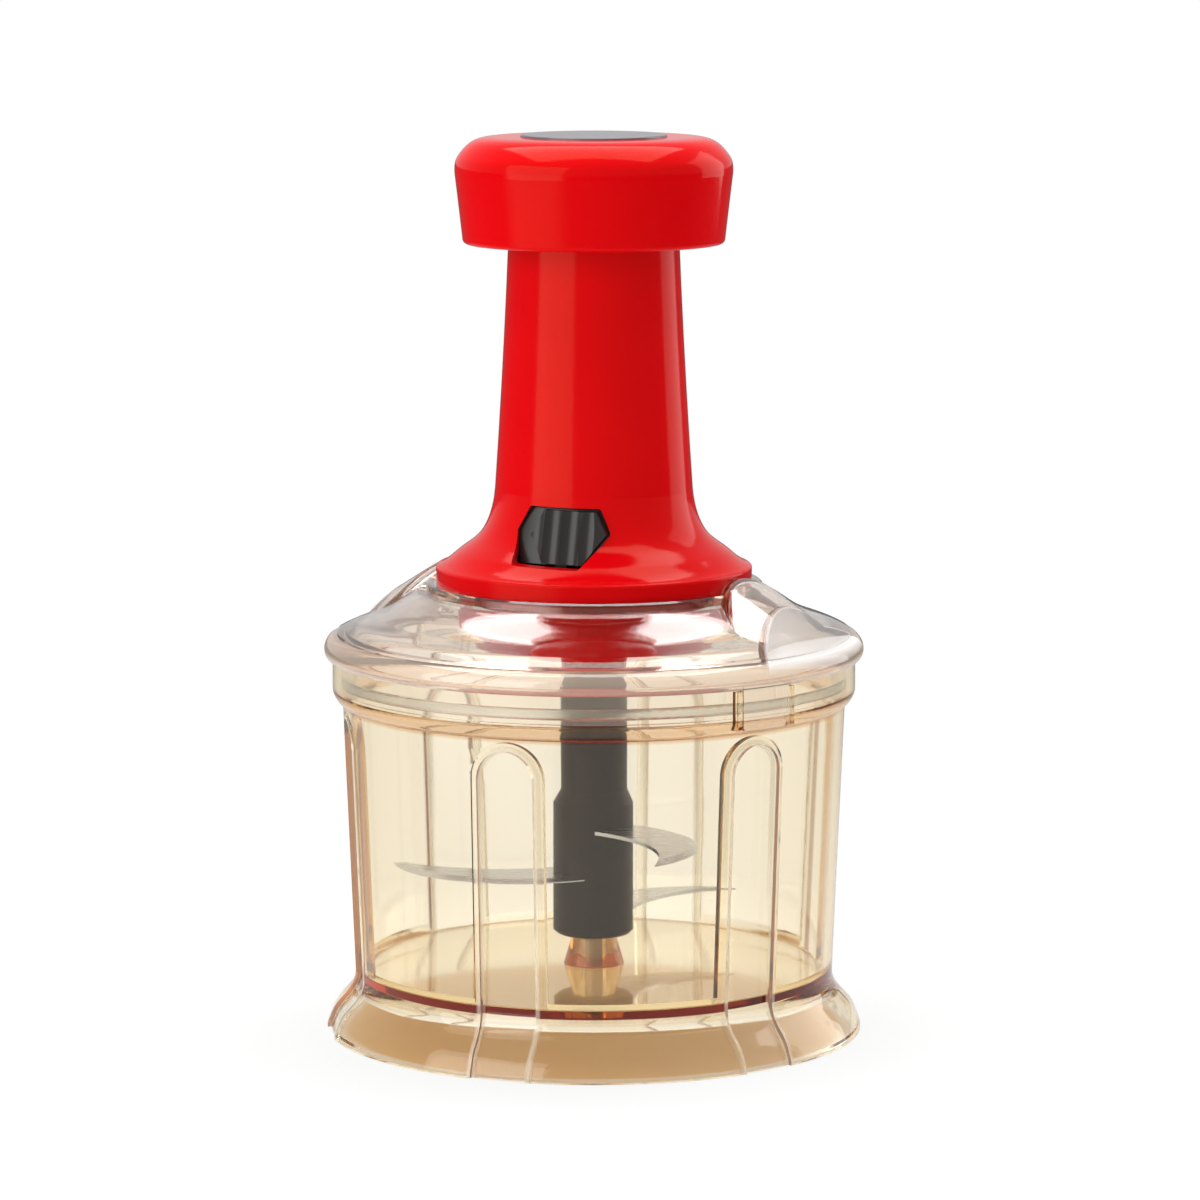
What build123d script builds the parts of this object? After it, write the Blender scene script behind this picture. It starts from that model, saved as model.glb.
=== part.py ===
from build123d import *
import os
from math import cos, radians, sin

# Plunger food chopper: a clear bowl with a spinning blade unit, a clear lid, and a
# push-down handle whose nut turns a twisted spindle. Millimetres, +Z up, origin at
# the centre of the foot. Azimuths are degrees from the front (-Y), positive to the
# right (+X).

os.makedirs("parts", exist_ok=True)

# ---- fits -------------------------------------------------------------------
running_gap = 0.1
seat_gap = 0.3
press_gap = 0.02
plastic_wall = 2.2

# ---- bowl -------------------------------------------------------------------
lid_radius = 75.2
lid_overhang = 2.3
collar_step = 2.8
foot_inset = 0.2
foot_flare = 8.0
foot_height = 16.5
foot_edge = 1.0
collar_radius = lid_radius - lid_overhang
wall_radius_high = collar_radius - collar_step
foot_radius = lid_radius - foot_inset
wall_radius_low = foot_radius - foot_flare
collar_wall = 2.1
rim_height = 105.0
collar_height = 12.8
collar_bottom = rim_height - collar_height
step_height = 4.2
floor_top = 17.6
floor_thickness = 2.4
skirt_thickness = 2.4
flute_count = 6
flute_azimuth = 39.7
flute_width = 16.0
flute_depth = 1.9
flute_drop = 3.4
flute_top = collar_bottom - flute_drop
foot_groove = 1.2
boss_radius_low = 8.5
boss_radius_high = 6.0
boss_height = 8.5

# ---- blade unit -------------------------------------------------------------
pin_radius = 2.5
pin_length = 29.3
bush_radius = 4.6
bush_length = 10.0
stem_radius = 9.3
hub_radius = 11.0
hub_height = 37.0
stem_drop = 8.3
stem_top = rim_height - stem_drop
hub_shoulder = 4.0
blade_clearance = 5.8
blade_reach = wall_radius_low - plastic_wall - blade_clearance
blade_thickness = 1.0
blade_width = 13.0
blade_ring_inner = 6.2
blade_ring_outer = 9.6
blade_first = 30.0
blade_pitch = 13.0
blade_bevel = 0.7
blade_bevel_width = 2.6
blade_sweep = 34.0
blade_heading = 80.0
blade_step = 120.0

# ---- lid --------------------------------------------------------------------
lid_shoulder = 3.7
lid_crease_radius = lid_radius - lid_shoulder
lid_crease = rim_height + 7.3
lid_widest = rim_height + 2.6
lid_lip = 0.6
rim_bulge = 0.25
neck_radius = 46.9
neck_foot = lid_crease + 11.3
lid_top = neck_foot + 2.4
lid_ring = 2.6
lid_skirt_depth = 8.2
gasket_height = 2.8
gasket_bottom = rim_height - 6.8
gasket_inset = 1.3
gasket_lip = 0.9
recess_azimuth = 62.0
recess_depth = 12.4
recess_radius = 45.5
recess_wall = 2.8
recess_floor = lid_crease - 0.3
turret_inset = 5.2
turret_centre = lid_radius - turret_inset
turret_radius = 27.3
turret_top = lid_top + 5.2
turret_slope = 31.5
turret_round = 3.2
vault_radius = 40.0
turret_wall = 2.2
tab_azimuth = 38.5
tab_width = 16.0
tab_bottom = rim_height - 11.2
tab_top = rim_height + 3.0
tab_corner = 1.5
tab_thickness = 1.7
tab_rib = 1.6
tab_rib_inset = 1.3

# ---- handle housing ---------------------------------------------------------
column_height = 97.0
column_top = lid_top + column_height
column_radius_high = 23.6
column_radius_mid = 25.1
column_mid = column_top - 32.5
column_radius_low = 27.5
column_low = lid_top + 26.0
housing_wall = 2.4
column_edge = 0.8
flange_radius = 44.0
flange_edge = 3.9
flange_bore = 35.8
flange_round = 1.6
flange_crown = 1.2
flange_hollow = 6.6
guide_depth = 15.0
guide_wall = 2.3
key_azimuth = 72.0
key_width = 3.0
key_inner = 17.4
key_depth = 5.6
stop_azimuths = (27.0, 117.0, 207.0, 297.0)
stop_width = 2.4
screw_circle = 29.0
screw_azimuths = (60.0, 180.0, 300.0)
screw_radius = 1.5
screw_head_radius = 2.8
screw_head_height = 1.9
screw_length = 14.0
screw_post = 10.0
screw_seat = 6.0

# ---- dish under the housing -------------------------------------------------
dish_radius = 37.6
dish_depth = 18.5
dish_bottom = lid_top - dish_depth
dish_corner = 5.0
spigot_length = 10.5
spigot_bottom = dish_bottom - spigot_length
lug_reach = 2.8
lug_height = 2.5
lug_azimuths = (0.0, 120.0, 240.0)
lug_span = 20.0
bearing_height = 7.5
bearing_top = dish_bottom + bearing_height
bearing_radius = 12.0

# ---- spindle and nut --------------------------------------------------------
travel = 22.0
spindle_lead = 22.0
journal_radius = 5.0
washer_radius = 9.0
washer_thickness = 1.0
thrust_collar_radius = 8.0
thrust_collar_height = 3.0
bar_width = 11.0
bar_thickness = 4.2
bar_top = lid_top + 39.0
pivot_radius = 2.5
pivot_height = 4.0
drive_flats = 8.0
drive_depth = 14.0
drive_gap = 0.15
nut_height = 8.0
nut_gap = 0.25
clip_thickness = 0.8
clip_radius = 7.0

# ---- plunger ----------------------------------------------------------------
tube_radius = 13.6
tube_bore = 11.1
tube_bottom = lid_top + 16.0
rim_radius = 20.0
rim_thickness = 3.0
bolt_width = 3.6
notch_gap = 0.4
seat_radius = 10.4
seat_thickness = 3.0
spring_radius = 8.8
spring_wire = 1.4
spring_turns = 9
stub_radius = 7.0

# ---- knob -------------------------------------------------------------------
knob_ceiling_gap = 0.4
knob_crown_thickness = 4.0
knob_overlap = 3.0
knob_bottom = column_top - knob_overlap
knob_top = column_top + travel + knob_ceiling_gap + knob_crown_thickness
knob_radius = 38.4
knob_waist = knob_top - 10.0
knob_radius_low = 36.3
knob_crown = 27.0
knob_inner = 33.6
knob_floor = 1.8
knob_lip = 1.4
knob_rib_inner = 26.0
knob_rib_count = 8
knob_rib_width = 1.6
knob_rib_start = 6.0
badge_radius = 20.2
badge_rise = 0.6
badge_top = knob_top + badge_rise
badge_plate = 0.9
badge_edge = 0.4
knob_washer_thickness = 0.7
knob_screw_head = 0.9

# ---- lock slider ------------------------------------------------------------
lock_azimuth = -17.7
lock_height = lid_top + 15.8
lock_travel = 7.5
plate_top = lock_height + 8.0
plate_bottom = lock_height - 7.4
plate_radius_mid = 28.95
plate_slope = 0.319
plate_thickness = 1.3
plate_left = 28.0
plate_right = 35.5
grip_rise = 2.6
grip_crown = 0.5
grip_outline = ((-8.4, 0.6), (-5.2, 7.2), (9.6, 6.9), (12.7, 0.8), (6.9, -7.2), (-4.3, -7.0))
window_outline = ((-9.8, 8.0), (10.2, 7.7), (13.4, 0.8), (7.4, -8.0), (-12.4, -7.4), (-13.4, 1.4))
window_corner = 1.2
ridge_spacing = 5.2
ridge_centre = 0.6
scoop_radius = 3.6
scoop_sink = 1.7
bolt_thickness = 3.0
bolt_rise = 7.0
bolt_foot = 0.2


def radial_plane(azimuth, radius, height):
    """Plane facing outwards at an azimuth: x runs to the right, y runs up."""
    angle = radians(azimuth)
    out = (sin(angle), -cos(angle), 0)
    along = (cos(angle), sin(angle), 0)
    return Plane(origin=(radius * out[0], radius * out[1], height), x_dir=along, z_dir=out)


def axial_plane(azimuth):
    """Half-plane through the axis at an azimuth: x is the radius, y is the height."""
    angle = radians(azimuth)
    return Plane(
        origin=(0, 0, 0),
        x_dir=(sin(angle), -cos(angle), 0),
        z_dir=(-cos(angle), -sin(angle), 0),
    )


def polar(radius, azimuth):
    """Plan position at a radius and azimuth."""
    return (radius * sin(radians(azimuth)), -radius * cos(radians(azimuth)))


def opposite(azimuth):
    """The azimuth and the one across the axis."""
    return (azimuth, azimuth + 180.0)


# ---- bowl -------------------------------------------------------------------
floor_bottom = floor_top - floor_thickness
inner_low = wall_radius_low - plastic_wall
inner_high = wall_radius_high - plastic_wall
collar_inner = collar_radius - collar_wall
collar_full = collar_bottom + step_height
flute_azimuths = [flute_azimuth + 360.0 / flute_count * k for k in range(flute_count)]


def foot_line(inset, drop):
    """Points down the flared foot, each moved in and down by a share of the wall."""
    shares = ((0.0, 1.0, 1.0, 0.0), (0.16, 0.71, 0.85, 0.4), (0.40, 0.56, 0.75, 0.7),
              (0.675, 0.41, 0.75, 0.7), (0.90, 0.19, 0.9, 0.3), (1.0, 0.06, 1.0, 0.0))
    return [
        (
            wall_radius_low + out * foot_flare - inset * across,
            foot_height * up - drop * down,
        )
        for out, up, across, down in shares
    ]


def flute_prisms(width, top):
    """Round-topped bars standing all round the bowl, through its wall."""
    with BuildPart() as prisms:
        for azimuth in flute_azimuths:
            with BuildSketch(radial_plane(azimuth, foot_radius / 2, 0)):
                with Locations((0, top - width / 2)):
                    Circle(width / 2)
                with Locations((0, (top - width / 2) / 2 - foot_edge)):
                    Rectangle(width, top - width / 2 + 2 * foot_edge)
            extrude(amount=foot_radius)
    return prisms.part


with BuildPart() as outer_grooves:
    with BuildSketch(Plane.XZ):
        with BuildLine():
            groove = foot_line(foot_groove, foot_groove)
            groove[0] = (wall_radius_low - flute_depth, foot_height)
            Spline(*groove)
            Polyline(
                groove[-1],
                (groove[-1][0], -foot_edge),
                (foot_radius + flute_depth, -foot_edge),
                (foot_radius + flute_depth, collar_bottom),
                (wall_radius_high - flute_depth, collar_bottom),
                groove[0],
            )
        make_face()
    revolve(axis=Axis.Z)
    add(flute_prisms(flute_width, flute_top), mode=Mode.INTERSECT)

with BuildPart() as inner_ridges:
    with BuildSketch(Plane.XZ):
        with BuildLine():
            Polyline(
                (inner_low - flute_depth, floor_bottom),
                (wall_radius_low, floor_bottom),
                (wall_radius_high, collar_bottom),
                (inner_high - flute_depth, collar_bottom),
                close=True,
            )
        make_face()
    revolve(axis=Axis.Z)
    add(
        flute_prisms(flute_width + 2 * plastic_wall, flute_top + plastic_wall),
        mode=Mode.INTERSECT,
    )

with BuildPart() as bowl_space:
    with BuildSketch(Plane.XZ):
        with BuildLine():
            Polyline(
                (0, floor_top),
                (inner_low - plastic_wall, floor_top),
                (inner_low, floor_top + plastic_wall),
                (inner_high, collar_bottom),
                (collar_inner, collar_full),
                (collar_inner, rim_height + plastic_wall),
                (0, rim_height + plastic_wall),
                close=True,
            )
        make_face()
    revolve(axis=Axis.Z)
    add(inner_ridges.part, mode=Mode.SUBTRACT)

with BuildPart() as bowl:
    with BuildSketch(Plane.XZ):
        with BuildLine():
            foot = foot_line(0, 0)
            Spline(*foot)
            Polyline(foot[-1], (foot_radius, 0), (0, 0), (0, rim_height), (collar_radius, rim_height))
            Line((collar_radius, rim_height), (collar_radius, collar_full))
            Spline(
                (collar_radius, collar_full),
                (collar_radius - 0.6, collar_full - 0.45 * step_height),
                (wall_radius_high, collar_bottom),
                tangents=((0, -1), (-1, -0.5)),
            )
            Line((wall_radius_high, collar_bottom), foot[0])
        make_face()
    revolve(axis=Axis.Z)
    add(bowl_space.part, mode=Mode.SUBTRACT)
    with BuildSketch(Plane.XZ):
        with BuildLine():
            under = foot_line(skirt_thickness, skirt_thickness)
            Spline(*under[1:])
            Polyline(
                under[-1],
                (under[-1][0], -foot_edge),
                (0, -foot_edge),
                (0, floor_bottom),
                (inner_low - plastic_wall, floor_bottom),
                under[1],
            )
        make_face()
    revolve(axis=Axis.Z, mode=Mode.SUBTRACT)
    add(outer_grooves.part, mode=Mode.SUBTRACT)
    # guide ribs on the collar, one each side of a lid tab
    for azimuth in opposite(tab_azimuth):
        rib_middle = (tab_bottom + rim_height) / 2
        with BuildSketch(radial_plane(azimuth, collar_inner + 0.5, rib_middle)):
            rib_place = tab_width / 2 + seat_gap + tab_rib / 2
            with Locations((rib_place, 0), (-rib_place, 0)):
                Rectangle(tab_rib, rim_height - tab_bottom - 2 * seat_gap)
        extrude(amount=lid_radius - collar_inner - tab_rib_inset)
    # tapered boss that carries the pivot pin
    with BuildSketch(Plane.XZ):
        with BuildLine():
            Polyline(
                (0, floor_top - foot_edge),
                (boss_radius_low, floor_top - foot_edge),
                (boss_radius_low, floor_top),
                (boss_radius_high, floor_top + boss_height),
                (0, floor_top + boss_height),
                close=True,
            )
        make_face()
    revolve(axis=Axis.Z)
    with BuildSketch(Plane.XY.offset(floor_top - foot_edge)):
        Circle(pin_radius + press_gap)
    extrude(amount=boss_height + 2 * foot_edge, mode=Mode.SUBTRACT)
bowl.part.label = "bowl"
export_step(bowl.part, "parts/bowl.step")

# ---- blade unit -------------------------------------------------------------
pin_bottom = floor_top - foot_edge
pin_top = pin_bottom + pin_length
hub_bottom = floor_top + boss_height + seat_gap

with BuildPart() as blade_pin:
    with BuildSketch(Plane.XY.offset(pin_bottom)):
        Circle(pin_radius)
    extrude(amount=pin_length)
    fillet(blade_pin.edges().group_by(Axis.Z)[-1], pin_radius * 0.8)
blade_pin.part.label = "blade_pin"
export_step(blade_pin.part, "parts/blade_pin.step")

with BuildPart() as stem_bush:
    with BuildSketch(Plane.XY.offset(hub_bottom)):
        Circle(bush_radius)
        Circle(pin_radius + running_gap, mode=Mode.SUBTRACT)
    extrude(amount=bush_length)
stem_bush.part.label = "stem_bush"
export_step(stem_bush.part, "parts/stem_bush.step")


def cutting_blade(level, heading):
    """Sickle blade: a ring moulded into the stem, and an arm with a ground edge."""
    tip = (blade_reach * cos(radians(blade_sweep)), -blade_reach * sin(radians(blade_sweep)))
    root = blade_ring_outer * 0.9
    with BuildPart() as blade:
        with BuildSketch(Plane.XY.offset(level)):
            with BuildLine():
                lead = ThreePointArc((root * 0.4, root), (blade_reach * 0.66, -2.0), tip)
                ThreePointArc(lead @ 1, (blade_reach * 0.5, -blade_width), (root * 0.4, -root))
                Line((root * 0.4, -root), lead @ 0)
            make_face()
            Circle(blade_ring_outer)
            Circle(blade_ring_inner, mode=Mode.SUBTRACT)
        extrude(amount=blade_thickness)
        lead_edge = blade.edges().group_by(Axis.Z)[-1].filter_by(GeomType.CIRCLE)
        chamfer(lead_edge.sort_by(SortBy.LENGTH)[-1], blade_bevel, blade_bevel_width)
    return blade.part.rotate(Axis.Z, heading)


blades = {}
for number, name in enumerate(("blade_lower", "blade_middle", "blade_upper")):
    heading = blade_heading + blade_step * number
    blades[name] = cutting_blade(blade_first + blade_pitch * number, heading)
    blades[name].label = name
    export_step(blades[name], "parts/" + name + ".step")

with BuildPart() as blade_stem:
    with BuildSketch(Plane.XZ):
        with BuildLine():
            Polyline(
                (0, hub_bottom),
                (hub_radius - 1.0, hub_bottom),
                (hub_radius, hub_bottom + 1.0),
                (hub_radius, hub_bottom + hub_height),
                (stem_radius, hub_bottom + hub_height + hub_shoulder),
                (stem_radius, stem_top - 0.8),
                (stem_radius - 0.8, stem_top),
                (0, stem_top),
                close=True,
            )
        make_face()
    revolve(axis=Axis.Z)
    with BuildSketch(Plane.XY.offset(hub_bottom)):
        Circle(bush_radius + press_gap)
    extrude(amount=bush_length, mode=Mode.SUBTRACT)
    with BuildSketch(Plane.XY.offset(hub_bottom)):
        Circle(pin_radius + seat_gap)
    extrude(amount=pin_top + seat_gap - hub_bottom, mode=Mode.SUBTRACT)
    with BuildSketch(Plane.XY.offset(stem_top - drive_depth - 2 * seat_gap)):
        RegularPolygon(drive_flats / 2 + drive_gap, 6, major_radius=False)
    extrude(amount=drive_depth + 3 * seat_gap, mode=Mode.SUBTRACT)
    for blade in blades.values():
        add(blade, mode=Mode.SUBTRACT)
blade_stem.part.label = "blade_stem"
export_step(blade_stem.part, "parts/blade_stem.step")

# ---- lid --------------------------------------------------------------------
skirt_outer = collar_inner - 0.5
skirt_inner = skirt_outer - 2.0
skirt_bottom = rim_height - lid_skirt_depth
lid_bore = dish_radius + 0.4
recess_centre = lid_crease_radius - recess_depth + recess_radius
cone_width = lid_crease_radius - neck_radius
cone_rise = neck_foot - lid_crease
cone_shares = ((0.098, 0.973), (0.244, 0.797), (0.394, 0.575), (0.573, 0.372), (0.829, 0.168))
cone_points = [(neck_radius + out * cone_width, lid_crease + up * cone_rise) for out, up in cone_shares]
cone_end = (lid_crease_radius, lid_crease)


def lowered(points, across, down):
    """The points moved towards the axis and down."""
    return [(x - across, y - down) for x, y in points]


def recess_turret(azimuth, grown):
    """Round boss behind a finger recess, under an arched roof that falls outwards."""
    high = radial_plane(azimuth, flange_radius, turret_top)
    fall = radians(turret_slope)
    up = high.z_dir * sin(fall) + Vector(0, 0, 1) * cos(fall)
    ridge = high.z_dir * cos(fall) - Vector(0, 0, 1) * sin(fall)
    with BuildPart() as turret:
        with BuildSketch(Plane.XY):
            with Locations(polar(turret_centre, azimuth)):
                Circle(turret_radius + grown)
        extrude(amount=2 * turret_top)
        with BuildSketch(Plane(high.origin - up * vault_radius, high.x_dir, ridge)):
            Circle(vault_radius + grown)
        extrude(amount=turret_top, both=True, mode=Mode.INTERSECT)
        fillet(turret.faces().sort_by(Axis.Z)[-1].edges(), turret_round + grown)
        with BuildSketch(Plane.XY.offset(lid_crease - plastic_wall)):
            Circle(lid_crease_radius + grown)
        extrude(amount=turret_top, mode=Mode.INTERSECT)
    return turret.part


with BuildPart() as lid_space:
    with BuildSketch(Plane.XZ):
        with BuildLine():
            inside = lowered(cone_points, 1.0, 2.0)
            Spline(*inside, (skirt_inner, lid_crease - 1.4))
            Polyline(
                (skirt_inner, lid_crease - 1.4),
                (skirt_inner, skirt_bottom - 1.0),
                (0, skirt_bottom - 1.0),
                (0, lid_top - lid_ring),
                (neck_radius - plastic_wall, lid_top - lid_ring),
                inside[0],
            )
        make_face()
    revolve(axis=Axis.Z)
    for azimuth in opposite(recess_azimuth):
        add(recess_turret(azimuth, -turret_wall))
        with BuildSketch(Plane.XY.offset(recess_floor - plastic_wall)):
            with Locations(polar(recess_centre, azimuth)):
                Circle(recess_radius + recess_wall)
        extrude(amount=lid_top, mode=Mode.SUBTRACT)

with BuildPart() as lid:
    with BuildSketch(Plane.XZ):
        with BuildLine():
            Polyline((0, lid_top), (neck_radius - 0.5, lid_top), (neck_radius, lid_top - 0.5))
            Polyline((neck_radius, lid_top - 0.5), (neck_radius, neck_foot), cone_points[0])
            Spline(*cone_points, cone_end)
            Polyline(cone_end, (lid_crease_radius + 0.2, lid_crease - 0.7))
            Spline(
                (lid_crease_radius + 0.2, lid_crease - 0.7),
                (lid_radius - 4 * rim_bulge, (lid_crease + lid_widest) / 2 + rim_bulge),
                (lid_radius, lid_widest),
                (lid_radius - lid_lip, rim_height + lid_lip),
            )
            Polyline(
                (lid_radius - lid_lip, rim_height + lid_lip),
                (lid_radius - 2 * lid_lip, rim_height),
                (skirt_outer, rim_height),
                (skirt_outer, skirt_bottom),
                (0, skirt_bottom),
                (0, lid_top),
            )
        make_face()
    revolve(axis=Axis.Z)
    for azimuth in opposite(recess_azimuth):
        add(recess_turret(azimuth, 0))
    add(lid_space.part, mode=Mode.SUBTRACT)
    for azimuth in opposite(recess_azimuth):
        with BuildSketch(Plane.XY.offset(recess_floor)):
            with Locations(polar(recess_centre, azimuth)):
                Circle(recess_radius)
        extrude(amount=lid_top, mode=Mode.SUBTRACT)
    # bore for the dish, with entry slots for its lugs
    with BuildSketch(Plane.XY.offset(lid_top - lid_ring - 1.0)):
        Circle(lid_bore)
    extrude(amount=lid_ring + 2.0, mode=Mode.SUBTRACT)
    for azimuth in lug_azimuths:
        with BuildSketch(axial_plane(azimuth + 60.0 - lug_span * 0.6)):
            with Locations((lid_bore + lug_reach / 2, lid_top - lid_ring / 2)):
                Rectangle(lug_reach + 2.0, lid_ring + 2.0)
        revolve(axis=Axis.Z, revolution_arc=lug_span * 1.2, mode=Mode.SUBTRACT)
    # groove for the gasket
    with BuildSketch(Plane.XY.offset(gasket_bottom - running_gap)):
        Circle(skirt_outer + 1.0)
        Circle(skirt_outer - gasket_inset, mode=Mode.SUBTRACT)
    extrude(amount=gasket_height + 2 * running_gap, mode=Mode.SUBTRACT)
    # hanging tabs that clasp the bowl's collar
    for azimuth in opposite(tab_azimuth):
        with BuildPart(mode=Mode.PRIVATE) as tab:
            with BuildSketch(radial_plane(azimuth, foot_radius / 2, (tab_bottom + tab_top) / 2)):
                RectangleRounded(tab_width, tab_top - tab_bottom, tab_corner)
            extrude(amount=foot_radius)
            with BuildSketch(Plane.XY):
                Circle(collar_radius + seat_gap + tab_thickness)
                Circle(collar_radius + seat_gap, mode=Mode.SUBTRACT)
            extrude(amount=lid_top, mode=Mode.INTERSECT)
        add(tab.part)
lid.part.label = "lid"
export_step(lid.part, "parts/lid.step")

with BuildPart() as lid_gasket:
    with BuildSketch(Plane.XY.offset(gasket_bottom)):
        Circle(collar_inner - seat_gap)
        Circle(skirt_outer - gasket_inset + press_gap, mode=Mode.SUBTRACT)
    extrude(amount=gasket_height)
    outer_rings = lid_gasket.edges().filter_by(GeomType.CIRCLE).sort_by(SortBy.RADIUS)[-2:]
    fillet(outer_rings, gasket_lip)
lid_gasket.part.label = "lid_gasket"
export_step(lid_gasket.part, "parts/lid_gasket.step")

# ---- handle housing ---------------------------------------------------------
guide_bore = tube_radius + running_gap
guide_bottom = column_top - housing_wall - guide_depth
stop_height = tube_bottom + rim_thickness + seat_gap
key_bottom = tube_bottom - travel
post_head = lid_top - screw_seat
flare_start = (column_radius_low, column_low)
flare_end = (flange_radius - flange_round, lid_top + flange_edge + flange_crown)
flare_width = flare_end[0] - flare_start[0]
flare_rise = flare_start[1] - flare_end[1]
flare_shares = ((0.128, 0.598), (0.309, 0.383), (0.685, 0.172))
flare = [(flare_start[0] + out * flare_width, flare_end[1] + up * flare_rise) for out, up in flare_shares]


def plate_radius(height):
    """Outside of the slider plate, a cone that widens downwards."""
    return plate_radius_mid + (lock_height - height) * plate_slope


with BuildPart() as housing_space:
    with BuildSketch(Plane.XZ):
        with BuildLine():
            low = (flange_bore, lid_top + flange_hollow)
            high = (column_radius_low - housing_wall, column_low)
            Spline(
                low,
                (flare[1][0] - 0.7 * housing_wall, flare[1][1] - 0.75 * housing_wall),
                (flare[0][0] - 0.95 * housing_wall, flare[0][1] - 0.3 * housing_wall),
                high,
            )
            Polyline(
                high,
                (column_radius_high - housing_wall, column_top - housing_wall),
                (0, column_top - housing_wall),
                (0, lid_top - 1.0),
                (flange_bore, lid_top - 1.0),
                low,
            )
        make_face()
    revolve(axis=Axis.Z)
    ribs = [(azimuth, key_width, key_inner, lid_top) for azimuth in opposite(key_azimuth)]
    ribs += [(azimuth, stop_width, key_inner, stop_height) for azimuth in stop_azimuths]
    for azimuth, width, inner, bottom in ribs:
        with BuildSketch(radial_plane(azimuth, inner, (bottom + guide_bottom) / 2)):
            Rectangle(width, guide_bottom - bottom)
        extrude(amount=flange_radius, mode=Mode.SUBTRACT)

with BuildPart() as housing:
    with BuildSketch(Plane.XZ):
        with BuildLine():
            Polyline((0, column_top), (column_radius_high - column_edge, column_top))
            Line(
                (column_radius_high - column_edge, column_top),
                (column_radius_high, column_top - column_edge),
            )
            ThreePointArc(
                (column_radius_high, column_top - column_edge),
                (column_radius_mid, column_mid),
                flare_start,
            )
            Spline(flare_start, *flare, flare_end, tangents=((0.09, -1), (1, -0.55)))
            Spline(
                flare_end,
                (flange_radius, lid_top + flange_edge),
                tangents=((1, -0.55), (0, -1)),
            )
            Polyline(
                (flange_radius, lid_top + flange_edge),
                (flange_radius, lid_top),
                (0, lid_top),
                (0, column_top),
            )
        make_face()
    revolve(axis=Axis.Z)
    add(housing_space.part, mode=Mode.SUBTRACT)
    # guide sleeve for the plunger tube
    with BuildSketch(Plane.XY.offset(guide_bottom)):
        Circle(guide_bore + guide_wall)
    extrude(amount=guide_depth + housing_wall / 2)
    with BuildSketch(Plane.XY.offset(guide_bottom)):
        Circle(guide_bore)
    extrude(amount=guide_depth + 2 * housing_wall, mode=Mode.SUBTRACT)
    # key tongues that run on down into the dish
    for azimuth in opposite(key_azimuth):
        with BuildSketch(radial_plane(azimuth, key_inner, (key_bottom + lid_top) / 2)):
            Rectangle(key_width, lid_top - key_bottom + 1.0)
        extrude(amount=key_depth)
    # screw posts
    for azimuth in screw_azimuths:
        with BuildSketch(Plane.XY.offset(lid_top)):
            with Locations(polar(screw_circle, azimuth)):
                Circle(screw_radius + plastic_wall)
        extrude(amount=screw_post)
        with BuildSketch(Plane.XY.offset(lid_top)):
            with Locations(polar(screw_circle, azimuth)):
                Circle(screw_radius + press_gap)
        extrude(amount=post_head + screw_length + seat_gap - lid_top, mode=Mode.SUBTRACT)
    # notches where the lid's turrets rise beside the flange
    for azimuth in opposite(recess_azimuth):
        add(recess_turret(azimuth, seat_gap), mode=Mode.SUBTRACT)
    # pocket behind the skin in which the slider plate turns
    with BuildSketch(axial_plane(lock_azimuth - plate_left - lock_travel - 1.0)):
        with BuildLine():
            low_edge = plate_bottom - seat_gap
            high_edge = plate_top + seat_gap
            Polyline(
                (key_inner, low_edge),
                (plate_radius(low_edge) + 0.2, low_edge),
                (plate_radius(high_edge) + 0.2, high_edge),
                (key_inner, high_edge),
                close=True,
            )
        make_face()
    revolve(
        axis=Axis.Z,
        revolution_arc=plate_left + plate_right + lock_travel + 2.0,
        mode=Mode.SUBTRACT,
    )
    # window for the slider grip
    with BuildSketch(radial_plane(lock_azimuth, key_inner, lock_height)) as window:
        with BuildLine():
            Polyline(*window_outline, close=True)
        make_face()
        fillet(window.vertices(), window_corner)
    extrude(amount=flange_radius / 2, mode=Mode.SUBTRACT)
housing.part.label = "housing"
export_step(housing.part, "parts/housing.step")

# ---- dish under the housing -------------------------------------------------
dish_top = lid_top
dish_floor = dish_bottom + plastic_wall
lug_middle = lid_top - lid_ring - seat_gap - lug_height / 2

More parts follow.
